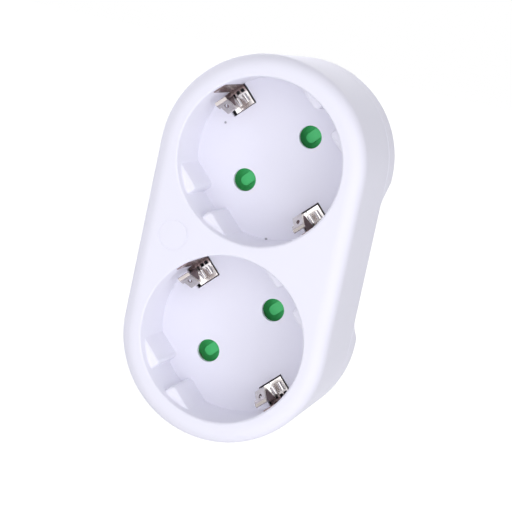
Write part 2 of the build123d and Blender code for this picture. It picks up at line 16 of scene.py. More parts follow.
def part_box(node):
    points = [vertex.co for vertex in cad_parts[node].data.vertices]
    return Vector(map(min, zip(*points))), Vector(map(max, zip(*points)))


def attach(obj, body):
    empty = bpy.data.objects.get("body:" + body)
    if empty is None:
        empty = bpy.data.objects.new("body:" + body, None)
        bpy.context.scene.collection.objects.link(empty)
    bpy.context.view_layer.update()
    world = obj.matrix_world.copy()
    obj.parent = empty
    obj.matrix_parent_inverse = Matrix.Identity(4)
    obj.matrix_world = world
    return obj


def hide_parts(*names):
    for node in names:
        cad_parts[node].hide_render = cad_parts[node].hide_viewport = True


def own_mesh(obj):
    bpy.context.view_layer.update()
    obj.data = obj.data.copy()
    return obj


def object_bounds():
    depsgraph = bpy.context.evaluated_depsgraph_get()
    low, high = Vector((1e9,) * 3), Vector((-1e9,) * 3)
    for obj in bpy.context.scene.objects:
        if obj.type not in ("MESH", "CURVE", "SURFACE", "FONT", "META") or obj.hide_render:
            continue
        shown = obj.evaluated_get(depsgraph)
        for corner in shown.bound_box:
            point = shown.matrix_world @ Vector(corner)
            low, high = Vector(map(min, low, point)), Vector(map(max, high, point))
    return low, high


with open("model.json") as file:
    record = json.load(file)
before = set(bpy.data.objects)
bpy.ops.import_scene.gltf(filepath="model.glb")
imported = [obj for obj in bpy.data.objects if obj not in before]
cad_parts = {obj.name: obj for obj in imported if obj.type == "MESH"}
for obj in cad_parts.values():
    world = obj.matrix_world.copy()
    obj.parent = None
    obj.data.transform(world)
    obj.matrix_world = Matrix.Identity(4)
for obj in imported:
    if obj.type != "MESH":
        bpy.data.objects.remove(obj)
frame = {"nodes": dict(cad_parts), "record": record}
nodes = frame["nodes"]
scene = bpy.context.scene
cad_low, cad_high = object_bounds()
MM = 0.001
print("solids loaded:", len(nodes), "size in mm:", [round(side / MM, 2) for side in cad_high - cad_low])

# %% [markdown]
# The camera comes first, because every later choice is judged through it. It could be dragged about until
# the picture fits, but angles and a distance are easier to read and to correct. A long lens stands half a
# metre off, a little to the right of the adapter and above it, and it is rolled, so that the adapter
# leans in the picture as it does in the photograph. The Standard view shows each colour about as it is
# written.

# %% Camera
PICTURE_SIDE = 512
SENSOR_WIDTH = 36.0
FOCAL_PIXELS = 2200
AIM_POINT = Vector((-4.97, -1.98, -5.72)) * MM
CAMERA_DISTANCE = 545 * MM
CAMERA_AZIMUTH = math.radians(13.30)
CAMERA_ELEVATION = math.radians(8.065)
CAMERA_ROLL = math.radians(12.10)
NEAREST_VIEW = 10 * MM

camera = bpy.data.objects.new("camera", bpy.data.cameras.new("camera"))
scene.collection.objects.link(camera)
camera.data.sensor_width = SENSOR_WIDTH
camera.data.lens = SENSOR_WIDTH * FOCAL_PIXELS / PICTURE_SIDE
camera.data.clip_start = NEAREST_VIEW
back = Vector((
    math.sin(CAMERA_AZIMUTH) * math.cos(CAMERA_ELEVATION),
    -math.cos(CAMERA_AZIMUTH) * math.cos(CAMERA_ELEVATION),
    math.sin(CAMERA_ELEVATION),
))
level = (-back).to_track_quat("-Z", "Y").to_matrix()
camera.matrix_world = (
    Matrix.Translation(AIM_POINT + back * CAMERA_DISTANCE)
    @ (level @ Matrix.Rotation(CAMERA_ROLL, 3, "Z")).to_4x4()
)
scene.camera = camera
scene.view_settings.view_transform = "Standard"
print("camera at", [round(value / MM) for value in camera.location], "mm, lens", round(camera.data.lens, 1))

# %% [markdown]
# Light and finishes are made of nodes. Each node could be added and linked line by line, but the same few
# lines would come back in every tree. So three helpers keep the trees short to read: one adds a node and
# sets its sockets, one does arithmetic on two sockets, and one picks the highest of several masks. A mask
# is a socket that says where something is, from 0 for nowhere to 1.


# %% Node helpers
def add_node(tree, kind, values=None, **settings):
    """A new node of the tree, with its settings and the values of its input sockets."""
    node = tree.nodes.new(kind)
    for name, value in settings.items():
        setattr(node, name, value)
    for socket, value in (values or {}).items():
        node.inputs[socket].default_value = value
    return node


def number(tree, operation, first, second=0.0):
    """The output of a Math node; each side is a socket or a plain number."""
    node = add_node(tree, "ShaderNodeMath", operation=operation)
    for socket, value in zip(node.inputs, (first, second)):
        if isinstance(value, (int, float)):
            socket.default_value = value
        else:
            tree.links.new(value, socket)
    return node.outputs[0]


def highest(tree, masks):
    """A socket with the highest of several masks."""
    top = masks[0]
    for mask in masks[1:]:
        top = number(tree, "MAXIMUM", top, mask)
    return top


print("helpers for nodes:", add_node.__name__, number.__name__, highest.__name__)

# %% [markdown]
# The adapter stands before plain white. Brighter lamps would make a background white too, but they would
# burn out the white housing. So the world has two strengths: the camera, mirrors and glass see white in
# it, while the light that it casts on the adapter stays weak. Light Path tells these rays apart, and a
# mask is made from it.

# %% White world
DAYLIGHT = (0.935, 0.932, 1.0)
WORLD_LIGHT = 0.25
WHITE = (1.0, 1.0, 1.0)


def white_ray_mask(tree):
    """A socket that is 1 for rays from the camera, from a mirror or through glass, and 0 for other light."""
    path = add_node(tree, "ShaderNodeLightPath")
    rays = ("Is Camera Ray", "Is Glossy Ray", "Is Transmission Ray")
    return highest(tree, [path.outputs[ray] for ray in rays])


world = bpy.data.worlds.new("studio")
world.use_nodes = True
sky = world.node_tree
sky.nodes.clear()
cast_light = add_node(sky, "ShaderNodeBackground", {"Color": (*DAYLIGHT, 1), "Strength": WORLD_LIGHT})
seen_white = add_node(sky, "ShaderNodeBackground", {"Color": (*WHITE, 1)})
either = add_node(sky, "ShaderNodeMixShader")
sky_output = add_node(sky, "ShaderNodeOutputWorld")
sky.links.new(white_ray_mask(sky), either.inputs[0])
sky.links.new(cast_light.outputs[0], either.inputs[1])
sky.links.new(seen_white.outputs[0], either.inputs[2])
sky.links.new(either.outputs[0], sky_output.inputs["Surface"])
scene.world = world
print("world: white to the camera, light of strength", WORLD_LIGHT, "on the adapter")

# %% [markdown]
# The light is soft daylight. One lamp would be simpler, but it would throw the hard shadow of a rim
# across each recess. So large panels stand all round. The recess floors darken towards their lower right
# rims, so the strongest panel stands to the right. The two at the back only fill the sides that the
# camera does not see. Each panel is turned to face the middle of the adapter, and its power is in watts.

# %% Light panels
PANEL_SIDE = 1.0
PANELS = {
    "right_panel": (Vector((0.80, -0.60, 0.0)), 5.8),
    "front_panel": (Vector((0.0, -1.0, 0.0)), 3.7),
    "top_panel": (Vector((0.0, -0.64, 0.77)), 1.5),
    "low_panel": (Vector((-0.58, -0.58, -0.57)), 1.2),
    "back_panel": (Vector((-0.35, 0.85, 0.40)), 5.5),
    "left_panel": (Vector((-0.90, 0.20, 0.35)), 4.0),
}
for name, (place, power) in PANELS.items():
    panel = bpy.data.objects.new(name, bpy.data.lights.new(name, "AREA"))
    panel.data.size = PANEL_SIDE
    panel.data.energy = power
    panel.data.color = DAYLIGHT
    panel.location = place
    panel.rotation_euler = (-place).to_track_quat("-Z", "Y").to_euler()
    scene.collection.objects.link(panel)
all_power = sum(power for place, power in PANELS.values())
print("light panels:", len(PANELS), "watts in all:", round(all_power, 1))

# %% [markdown]
# Below the adapter lies a white table, wide enough to fill the picture from any side. A white plane alone
# would look grey before the white world. More light on it would also reach the adapter, so the plane
# glows instead, but only for the rays that the mask lets through. It still takes the light and shade that
# fall on it.

# %% White table
FLOOR_DROP = 0.70
FLOOR_SIDE = 30.0
FLOOR_TINT = (0.85, 0.85, 0.85)
FLOOR_ROUGHNESS = 0.9
FLOOR_GLOW = 0.93


def new_material(name):
    """A material that holds only a Principled shader and its output, with its tree and shader."""
    material = bpy.data.materials.new(name)
    material.use_nodes = True
    tree = material.node_tree
    tree.nodes.clear()
    shader = add_node(tree, "ShaderNodeBsdfPrincipled", name="shader")
    output = add_node(tree, "ShaderNodeOutputMaterial")
    tree.links.new(shader.outputs["BSDF"], output.inputs["Surface"])
    return material, tree, shader


half = FLOOR_SIDE / 2
floor_height = cad_low.z - FLOOR_DROP
corners = [(-half, -half), (half, -half), (half, half), (-half, half)]
floor_mesh = bpy.data.meshes.new("floor")
floor_mesh.from_pydata([(x, y, floor_height) for x, y in corners], [], [(0, 1, 2, 3)])
floor = bpy.data.objects.new("floor", floor_mesh)
scene.collection.objects.link(floor)
floor_material, floor_tree, floor_shader = new_material("white_table")
floor_shader.inputs["Base Color"].default_value = (*FLOOR_TINT, 1)
floor_shader.inputs["Roughness"].default_value = FLOOR_ROUGHNESS
floor_shader.inputs["Emission Color"].default_value = (*WHITE, 1)
floor_glow = number(floor_tree, "MULTIPLY", white_ray_mask(floor_tree), FLOOR_GLOW)
floor_tree.links.new(floor_glow, floor_shader.inputs["Emission Strength"])
floor.data.materials.append(floor_material)
print("floor:", round(FLOOR_DROP / MM), "mm below the adapter")

# %% [markdown]
# Real plastic and metal are never one even colour: the tint, the gloss and the surface all change a
# little from place to place. Pictures of the stuff could be wrapped round the part, but they would
# stretch over the recesses. So every finish is worked out in space, by noises that read Object
# coordinates and sit still on the part. Four helpers make its sockets: a noise, a range, a colour between
# two others, and the links to the shader.

# %% Sockets of a finish
SHARE = (0.0, 1.0)


def noise(tree, place, values):
    """The strength of a noise with its own values; the place is a socket."""
    texture = add_node(tree, "ShaderNodeTexNoise", values)
    tree.links.new(place, texture.inputs["Vector"])
    return texture.outputs["Fac"]


def ranged(tree, value, source, target):
    """A socket's value mapped from one range onto another, and held at its ends."""
    node = add_node(tree, "ShaderNodeMapRange")
    for socket, end in zip(("From Min", "From Max", "To Min", "To Max"), (*source, *target)):
        node.inputs[socket].default_value = end
    tree.links.new(value, node.inputs["Value"])
    return node.outputs["Result"]


def blended(tree, mask, first, second):
    """The first colour where the mask is 0 and the second where it is 1; each is a socket or a tint."""
    mix = add_node(tree, "ShaderNodeMix", data_type="RGBA")
    tree.links.new(mask, mix.inputs["Factor"])
    for socket, colour in ((mix.inputs["A"], first), (mix.inputs["B"], second)):
        if isinstance(colour, tuple):
            socket.default_value = (*colour, 1)
        else:
            tree.links.new(colour, socket)
    return mix.outputs["Result"]


def dress(tree, shader, colour, roughness, height, bump_values):
    """Gives the shader a colour, a roughness and a bump, each from a socket."""
    bump = add_node(tree, "ShaderNodeBump", bump_values)
    tree.links.new(height, bump.inputs["Height"])
    tree.links.new(colour, shader.inputs["Base Color"])
    tree.links.new(roughness, shader.inputs["Roughness"])
    tree.links.new(bump.outputs["Normal"], shader.inputs["Normal"])


print("helpers for finishes:", noise.__name__, ranged.__name__, blended.__name__, dress.__name__)

# %% [markdown]
# The housing is moulded from white plastic with a slight blue tint and a satin finish. The shutters are
# green, and the guides behind them have the plastic's natural colour. A flat colour would look like
# paper. So a broad noise shifts the tint a little, a finer one shifts the gloss, and a very fine one is a
# bump, for the grain of the mould. The bump could be real geometry, but its grain is far smaller than a
# face of the mesh.

# %% Moulded plastics
TINT_NOISE = {"Scale": 60.0, "Detail": 3.0}
GLOSS_NOISE = {"Scale": 420.0, "Detail": 4.0}
GRAIN_NOISE = {"Scale": 5200.0, "Detail": 2.0}
GRAIN_STRENGTH = 0.35
SATIN_SHINE = 0.32


def moulded_plastic(name, light_tint, deep_tint, gloss, grain_height):
    """A satin plastic: two near tints, a range of roughness and the height of the mould's grain."""
    material, tree, shader = new_material(name)
    shader.inputs["Specular IOR Level"].default_value = SATIN_SHINE
    place = add_node(tree, "ShaderNodeTexCoord", name="place").outputs["Object"]
    colour = blended(tree, noise(tree, place, TINT_NOISE), light_tint, deep_tint)
    roughness = ranged(tree, noise(tree, place, GLOSS_NOISE), SHARE, gloss)
    grain = noise(tree, place, GRAIN_NOISE)
    dress(tree, shader, colour, roughness, grain, {"Strength": GRAIN_STRENGTH, "Distance": grain_height})
    return material


white_plastic = moulded_plastic(
    "white_plastic", (0.908, 0.904, 0.966), (0.918, 0.914, 0.976), (0.50, 0.62), 0.006 * MM
)
green_plastic = moulded_plastic(
    "green_plastic", (0.080, 0.62, 0.185), (0.095, 0.66, 0.215), (0.30, 0.42), 0.005 * MM
)
natural_plastic = moulded_plastic(
    "natural_plastic", (0.72, 0.70, 0.62), (0.76, 0.74, 0.68), (0.45, 0.60), 0.008 * MM
)
print("plastics:", white_plastic.name, green_plastic.name, natural_plastic.name)

# %% [markdown]
# Two grains of dirt lie in the upper recess, as in the photograph. They could be tiny meshes, but at this
# size they have no shape of their own, so they are stains in the white finish. Each is a point on the
# floor with a radius, and the colour fades with the distance from it. The helper works on any finish that
# is already made, and it also lays the painted shade on the earth strips: it takes the link that ends in
# the shader's colour and puts the tint in between.

# %% Grains of dirt
DIRT_TINT = (0.10, 0.09, 0.10)
DIRT_COVER = 0.75
DIRT_CORE = 0.3
DIRT_GRAINS = [
    (Vector((-14.24, -22.5, 26.63)) * MM, 0.40 * MM),
    (Vector((1.40, -22.5, 1.77)) * MM, 0.45 * MM),
]


def dirt_mask(tree, place):
    """A socket that is near 1 inside the grains of dirt and 0 outside them."""
    grains = []
    for point, radius in DIRT_GRAINS:
        reach = add_node(tree, "ShaderNodeVectorMath", {1: point}, operation="DISTANCE")
        tree.links.new(place, reach.inputs[0])
        edge = (DIRT_CORE * radius, radius)
        grains.append(ranged(tree, reach.outputs["Value"], edge, (DIRT_COVER, 0.0)))
    return highest(tree, grains)


def stain_or_shade(material, find_mask, tint):
    """Tints a finish where a mask is 1, as dirt or painted shade; find_mask makes the mask from a place."""
    tree = material.node_tree
    colour = tree.nodes["shader"].inputs["Base Color"]
    mask = find_mask(tree, tree.nodes["place"].outputs["Object"])
    tree.links.new(blended(tree, mask, colour.links[0].from_socket, tint), colour)
    return mask


stain_or_shade(white_plastic, dirt_mask, DIRT_TINT)
print("grains of dirt:", len(DIRT_GRAINS))

# %% [markdown]
# The metal strips are rolled, and rolling leaves fine lines along them. The pins and screws are turned,
# which leaves lines round them. A shader that smears its highlights could hint at such lines, but they
# would not show close up. So a noise is stretched along the lines, and it drives the colour, the gloss
# and a shallow bump together. Three numbers say how fine the noise is along X, Y and Z, and it is drawn
# out where they are 1.

# %% Rolled and turned metals
LINE_NOISE = {"Scale": 260.0, "Detail": 5.0, "Roughness": 0.65}
LINE_STRENGTH = 0.3
LINE_HEIGHT = 0.008 * MM
PLATED_LINE_HEIGHT = 0.002 * MM
ALONG_CLIPS = (6, 1, 6)
ALONG_BARS = (14, 14, 1)
ROUND_PINS = (1, 14, 1)


def lined_metal(name, bright, dull, gloss, fineness, line_height):
    """A metal with lines: two shades, a range of roughness, the fineness along each axis and a height."""
    material, tree, shader = new_material(name)
    shader.inputs["Metallic"].default_value = 1.0
    place = add_node(tree, "ShaderNodeTexCoord", name="place").outputs["Object"]
    drawn_out = add_node(tree, "ShaderNodeMapping", {"Scale": fineness})
    tree.links.new(place, drawn_out.inputs["Vector"])
    lines = noise(tree, drawn_out.outputs["Vector"], LINE_NOISE)
    colour = blended(tree, lines, bright, dull)
    roughness = ranged(tree, lines, SHARE, gloss)
    dress(tree, shader, colour, roughness, lines, {"Strength": LINE_STRENGTH, "Distance": line_height})
    return material


plated_strip = lined_metal(
    "plated_strip", (0.92, 0.91, 0.89), (0.62, 0.58, 0.53), (0.12, 0.26), ALONG_CLIPS, PLATED_LINE_HEIGHT
)
plated_pin = lined_metal(
    "plated_pin", (0.62, 0.605, 0.57), (0.50, 0.485, 0.45), (0.16, 0.30), ROUND_PINS, LINE_HEIGHT
)
brass_strip = lined_metal(
    "brass_strip", (0.80, 0.62, 0.28), (0.66, 0.48, 0.19), (0.22, 0.42), ALONG_BARS, LINE_HEIGHT
)
spring_steel = lined_metal(
    "spring_steel", (0.56, 0.56, 0.56), (0.38, 0.38, 0.38), (0.20, 0.38), ALONG_BARS, LINE_HEIGHT
)
zinc_screw = lined_metal(
    "zinc_screw", (0.62, 0.63, 0.64), (0.46, 0.47, 0.48), (0.28, 0.48), ROUND_PINS, LINE_HEIGHT
)
print("metals:", plated_strip.name, plated_pin.name, brass_strip.name, spring_steel.name, zinc_screw.name)

# %% [markdown]
# The earth strips get a brown painted shade where they stand in the shaded slot against the wall of the
# recess and on the legs of their sprung leaves. They get less on the leaves' plates and lips, where it dims
# their reflections, and a lighter wash of the same brown lies on the plug's side contacts. The shade could
# be painted by hand, but each part of it lies where one measure says: the distance from the axis of a
# socket, or the place from front to back, which is Y. So the mask is worked out from those two. The painted
# shade also takes the mirror out of the shader, so that the strips reflect less there.

# %% Painted shade on the earth strips
# Brown painted shade, laid where the strips stand in shade and where their reflections are dimmed.
PAINTED_SHADE_TINT = (0.26, 0.185, 0.175)
PAINTED_SHADE_METAL = 0.35
SHADE_FADE = 0.8 * MM
WALL_REACH = 17.7 * MM
FOOT_Y = -22.0 * MM
KNEE_Y = -28.6 * MM
LIP_Y = -32.3 * MM
LIP_FADE = 0.5 * MM
PLUG_FADE = 1.0 * MM
PLATE_COVER = 0.25
LIP_COVER = 0.45
PLUG_COVER = 0.3
mounts = {mount["name"]: Vector(mount["pos_m"]) for mount in frame["record"]["mounts"]}
SOCKET_HEIGHT = (mounts["pin_hole_upper_left"].z + mounts["pin_hole_upper_right"].z) / 2


def painted_shade_mask(tree, place):
    """A painted-shade mask: 1 by the walls and on the legs, less on the plates, lips and plug contacts."""
    axes = add_node(tree, "ShaderNodeSeparateXYZ")
    tree.links.new(place, axes.inputs[0])
    x, y, z = axes.outputs
    above = number(tree, "SUBTRACT", number(tree, "ABSOLUTE", z), SOCKET_HEIGHT)
    squares = [number(tree, "MULTIPLY", side, side) for side in (x, above)]
    reach = number(tree, "SQRT", number(tree, "ADD", *squares))
    behind_knee = ranged(tree, y, (KNEE_Y, KNEE_Y + SHADE_FADE), SHARE)
    before_foot = ranged(tree, y, (FOOT_Y, FOOT_Y - SHADE_FADE), SHARE)
    return highest(tree, [
        ranged(tree, reach, (WALL_REACH, WALL_REACH + SHADE_FADE), SHARE),
        number(tree, "MULTIPLY", behind_knee, before_foot),
        ranged(tree, y, (KNEE_Y, KNEE_Y - SHADE_FADE), (0.0, PLATE_COVER)),
        ranged(tree, y, (LIP_Y, LIP_Y - LIP_FADE), (0.0, LIP_COVER)),
        ranged(tree, y, (0.0, PLUG_FADE), (0.0, PLUG_COVER)),
    ])


# The brown painted shade goes into the strip's colour through its mask.
painted_shade = stain_or_shade(plated_strip, painted_shade_mask, PAINTED_SHADE_TINT)
strip_tree = plated_strip.node_tree
# Where the painted shade lies, the strip is made less metal, so it reflects less.
bare_metal = ranged(strip_tree, painted_shade, SHARE, (1.0, PAINTED_SHADE_METAL))
strip_tree.links.new(bare_metal, strip_tree.nodes["shader"].inputs["Metallic"])
print("tarnish round sockets at", round(SOCKET_HEIGHT / MM, 2), "mm, nodes:", len(strip_tree.nodes))

# %% [markdown]
# Every solid came with a plain material that is named after its slot, and the finishes have the same
# names. They could be set by hand, but then a solid that is added later would stay plain, so a loop hands
# them out. Only the part of a name before the dot counts, because Blender adds a number to a name that is
# taken.

# %% Give every solid its finish
plastics = (white_plastic, green_plastic, natural_plastic)
metals = (plated_strip, plated_pin, brass_strip, spring_steel, zinc_screw)
finishes = {finish.name.split(".")[0]: finish for finish in (*plastics, *metals)}
for solid in nodes.values():
    slot = solid.material_slots[0]
    slot.material = finishes[slot.material.name.split(".")[0]]
print("finished solids:", len(nodes), "with", len(finishes), "finishes")

# %% [markdown]
# The small pieces that repeat are grown by Geometry Nodes. They could be modelled once and copied, but
# then a change of one size means new copies. A tree makes one piece from named sizes, which are its
# inputs, and puts a copy on each point of the mesh that it is given. The first tree is for the two screws
# that close the housing from the back.

# %% Start of the screw's tree
SCREW_SIZES = {
    "Head Diameter": 5.0 * MM,
    "Head Height": 1.8 * MM,
    "Core Diameter": 2.0 * MM,
    "Length": 15.0 * MM,
    "Pitch": 1.1 * MM,
}


def new_tree(name, sizes):
    """A Geometry Nodes tree with a geometry input and output and a named number for each size."""
    tree = bpy.data.node_groups.new(name, "GeometryNodeTree")
    tree.interface.new_socket("Geometry", in_out="INPUT", socket_type="NodeSocketGeometry")
    for size in sizes:
        tree.interface.new_socket(size, in_out="INPUT", socket_type="NodeSocketFloat")
    tree.interface.new_socket("Geometry", in_out="OUTPUT", socket_type="NodeSocketGeometry")
    return tree, add_node(tree, "NodeGroupInput")


screw_tree, screw_in = new_tree("pan_screw", SCREW_SIZES)
head_diameter, head_height, core_diameter, screw_length, pitch = screw_in.outputs[1:6]
print("sizes of a screw:", ", ".join(SCREW_SIZES))

# %% [markdown]
# The head of the screw is a low dome over a short rim, and the rivets have such heads too. A cut sphere
# would be simple, but its height and its width would hang together. So the top of a flat cylinder is
# raised: least at its rim and most in the middle, by the square of the distance from there.

# %% Domed head
HEAD_SIDES = 40
HEAD_RINGS = 6
RIM_SHARE = 0.4


def lifted(tree, geometry, height):
    """The geometry moved along its own axis, Z, by a socket's height."""
    move = add_node(tree, "GeometryNodeTransform")
    shift = add_node(tree, "ShaderNodeCombineXYZ")
    tree.links.new(height, shift.inputs["Z"])
    tree.links.new(geometry, move.inputs["Geometry"])
    tree.links.new(shift.outputs[0], move.inputs["Translation"])
    return move.outputs["Geometry"]


def position_axes(tree):
    """The sockets of a point's three coordinates."""
    axes = add_node(tree, "ShaderNodeSeparateXYZ")
    tree.links.new(add_node(tree, "GeometryNodeInputPosition").outputs[0], axes.inputs[0])
    return axes.outputs


def domed_head(tree, diameter, height):
    """A round head whose seat is at 0: a short rim and a dome over it."""
    faces = {"Vertices": HEAD_SIDES, "Side Segments": 1, "Fill Segments": HEAD_RINGS}
    disc = add_node(tree, "GeometryNodeMeshCylinder", faces)
    rim = number(tree, "MULTIPLY", height, RIM_SHARE)
    radius = number(tree, "MULTIPLY", diameter, 0.5)
    tree.links.new(radius, disc.inputs["Radius"])
    tree.links.new(rim, disc.inputs["Depth"])
    x, y, z = position_axes(tree)
    squares = [number(tree, "MULTIPLY", side, side) for side in (x, y)]
    share = number(tree, "DIVIDE", number(tree, "ADD", *squares), number(tree, "MULTIPLY", radius, radius))
    dome_height = number(tree, "MULTIPLY", height, 1 - RIM_SHARE)
    rise = number(tree, "MULTIPLY", number(tree, "SUBTRACT", 1.0, share), dome_height)
    offset = add_node(tree, "ShaderNodeCombineXYZ")
    tree.links.new(rise, offset.inputs["Z"])
    dome = add_node(tree, "GeometryNodeSetPosition")
    tree.links.new(disc.outputs["Mesh"], dome.inputs["Geometry"])
    tree.links.new(number(tree, "GREATER_THAN", z, 0.0), dome.inputs["Selection"])
    tree.links.new(offset.outputs[0], dome.inputs["Offset"])
    return lifted(tree, dome.outputs["Geometry"], number(tree, "MULTIPLY", rim, 0.5))


screw_head = domed_head(screw_tree, head_diameter, head_height)
print("nodes for a head:", len(screw_tree.nodes))

# %% [markdown]
# A cross recess takes the screwdriver. Two crossed boxes could cut it, but their flat floor mirrors the
# white world and looks filled. So two slim wedges cut it, which narrow as they go down. One is a little
# less deep than the other, because the cut fails where two of its faces lie in one plane.

# %% Cross recess
WEDGE_TOP = 0.31
WEDGE_FOOT = 0.05
WEDGE_SLIMNESS = 0.34
WEDGE_DEPTHS = {0.0: 0.75, math.radians(90): 0.72}
WEDGE_REACH = 1.02

recess = add_node(screw_tree, "GeometryNodeMeshBoolean", operation="DIFFERENCE", solver="EXACT")
screw_tree.links.new(screw_head, recess.inputs["Mesh 1"])
wedge_top = number(screw_tree, "MULTIPLY", head_diameter, WEDGE_TOP)
wedge_foot = number(screw_tree, "MULTIPLY", head_diameter, WEDGE_FOOT)
for turn, depth_share in WEDGE_DEPTHS.items():
    wedge = add_node(screw_tree, "GeometryNodeMeshCone", {"Vertices": 4})
    screw_tree.links.new(wedge_top, wedge.inputs["Radius Top"])
    screw_tree.links.new(wedge_foot, wedge.inputs["Radius Bottom"])
    screw_tree.links.new(number(screw_tree, "MULTIPLY", head_height, depth_share), wedge.inputs["Depth"])
    flat_turn = {"Rotation": (0, 0, turn), "Scale": (1, WEDGE_SLIMNESS, 1)}
    slim = add_node(screw_tree, "GeometryNodeTransform", flat_turn)
    screw_tree.links.new(wedge.outputs["Mesh"], slim.inputs["Geometry"])
    foot_height = number(screw_tree, "MULTIPLY", head_height, WEDGE_REACH - depth_share)
    screw_tree.links.new(lifted(screw_tree, slim.outputs["Geometry"], foot_height), recess.inputs["Mesh 2"])
print("wedges of the recess:", len(WEDGE_DEPTHS))

# %% [markdown]
# Below its head the screw has a core with a coarse thread, as screws for plastic have. A bump could fake
# the thread, but then the mesh itself would stay a plain rod. So a wire of three sides is wound round the
# core, half sunk into it, and what stands out is the thread. The springs are wound by the same helper.

# %% Core and thread
ROD_SIDES = 32
TURN_POINTS = 28
CORE_OVERLAP = 0.1
THREAD_SHARE = 0.8
THREAD_FOOT = 0.97
THREAD_WIRE = 0.27
THREAD_SIDES = 3


def rod(tree, diameter, top, bottom):
    """A round rod along the axis between two heights."""
    bar = add_node(tree, "GeometryNodeMeshCylinder", {"Vertices": ROD_SIDES})
    tree.links.new(number(tree, "MULTIPLY", diameter, 0.5), bar.inputs["Radius"])
    tree.links.new(number(tree, "SUBTRACT", top, bottom), bar.inputs["Depth"])
    middle = number(tree, "MULTIPLY", number(tree, "ADD", top, bottom), 0.5)
    return lifted(tree, bar.outputs["Mesh"], middle)


def coil(tree, radius, wire_radius, turns, length, sides, bottom):
    """A wire of a few sides wound up the axis from a height, capped at both ends."""
    spiral = add_node(tree, "GeometryNodeCurveSpiral", {"Resolution": TURN_POINTS})
    sizes = {"Rotations": turns, "Start Radius": radius, "End Radius": radius, "Height": length}
    for socket, size in sizes.items():
        tree.links.new(size, spiral.inputs[socket])
    ring = add_node(tree, "GeometryNodeCurvePrimitiveCircle", {"Resolution": sides})
    tree.links.new(wire_radius, ring.inputs["Radius"])
    wire = add_node(tree, "GeometryNodeCurveToMesh", {"Fill Caps": True})
    tree.links.new(spiral.outputs["Curve"], wire.inputs["Curve"])
    tree.links.new(ring.outputs["Curve"], wire.inputs["Profile Curve"])
    return lifted(tree, wire.outputs["Mesh"], bottom)


core_top = number(screw_tree, "MULTIPLY", head_height, CORE_OVERLAP)
core = rod(screw_tree, core_diameter, core_top, number(screw_tree, "MULTIPLY", screw_length, -1.0))
thread_length = number(screw_tree, "MULTIPLY", screw_length, THREAD_SHARE)
thread = coil(
    screw_tree,
    number(screw_tree, "MULTIPLY", core_diameter, 0.5),
    number(screw_tree, "MULTIPLY", pitch, THREAD_WIRE),
    number(screw_tree, "DIVIDE", thread_length, pitch),
    thread_length,
    THREAD_SIDES,
    number(screw_tree, "MULTIPLY", screw_length, -THREAD_FOOT),
)
print("nodes for a screw:", len(screw_tree.nodes))

# %% [markdown]
# The tree ends in three steps. Copies of the piece are set on the points and turned, they are made real,
# and they get their finish. Instances would be lighter, but an export drops them. A piece grows along Z,
# so a screw whose head looks out of the back is turned by a quarter about X.

# %% End of the screw's tree
ALONG_BACK = (math.radians(-90), 0, 0)


def copies(tree, source, pieces, turn, selection=None):
    """The joined pieces, turned, on each given point, or on the points that the selection picks."""
    join = add_node(tree, "GeometryNodeJoinGeometry")
    for piece in pieces:
        tree.links.new(piece, join.inputs[0])
    spread = add_node(tree, "GeometryNodeInstanceOnPoints", {"Rotation": turn})
    tree.links.new(source.outputs["Geometry"], spread.inputs["Points"])
    tree.links.new(join.outputs[0], spread.inputs["Instance"])
    if selection is not None:
        tree.links.new(selection, spread.inputs["Selection"])
    return spread.outputs[0]


def close_tree(tree, groups, material):
    """Ends a tree: all its copies are made real and get their finish."""
    join = add_node(tree, "GeometryNodeJoinGeometry")
    for group in groups:
        tree.links.new(group, join.inputs[0])
    real = add_node(tree, "GeometryNodeRealizeInstances")
    tree.links.new(join.outputs[0], real.inputs[0])
    finish = add_node(tree, "GeometryNodeSetMaterial", {"Material": material})
    tree.links.new(real.outputs[0], finish.inputs["Geometry"])
    output = add_node(tree, "NodeGroupOutput")
    tree.links.new(finish.outputs[0], output.inputs[0])


one_screw = (recess.outputs["Mesh"], core, thread)
close_tree(screw_tree, [copies(screw_tree, screw_in, one_screw, ALONG_BACK)], zinc_screw)
print("nodes in the screw's tree:", len(screw_tree.nodes))

# %% [markdown]
# Now the screws can grow. A modifier could stay on the object, but the later steps want a plain mesh with
# its place in its vertices, so the result is kept and the modifier goes. The modifier knows its inputs by
# their sockets' identifiers and not by their names. The screws sit where the plain solid has its heads,
# ride on the housing and take the solid's place.

# %% Grow the screws
def grow(name, tree, points, sizes):
    """A plain mesh object of what the tree grows on the points, with the named sizes in metres."""
    seed_mesh = bpy.data.meshes.new(name + "_points")
    seed_mesh.from_pydata([tuple(point) for point in points], [], [])
    piece = bpy.data.objects.new(name, seed_mesh)
    scene.collection.objects.link(piece)
    modifier = piece.modifiers.new("grow", "NODES")
    modifier.node_group = tree
    for item in tree.interface.items_tree:
        if item.in_out == "INPUT" and item.name in sizes:
            modifier[item.identifier] = sizes[item.name]
    grown = piece.evaluated_get(bpy.context.evaluated_depsgraph_get())
    mesh = bpy.data.meshes.new_from_object(grown)
    while mesh.materials[0] is None:
        mesh.materials.pop(index=0)
    piece.modifiers.clear()
    piece.data = mesh
    bpy.data.meshes.remove(seed_mesh)
    mesh.name = name
    return piece


screw_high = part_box("housing_screws")[1]
screw_seat = screw_high.y - SCREW_SIZES["Head Height"]
screw_reach = screw_high.z - SCREW_SIZES["Head Diameter"] / 2
screw_points = [(0, screw_seat, screw_reach), (0, screw_seat, -screw_reach)]
screws = grow("pan_screws", screw_tree, screw_points, SCREW_SIZES)
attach(screws, "housing")
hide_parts("housing_screws")
print("screws:", len(screw_points), "faces:", len(screws.data.polygons))

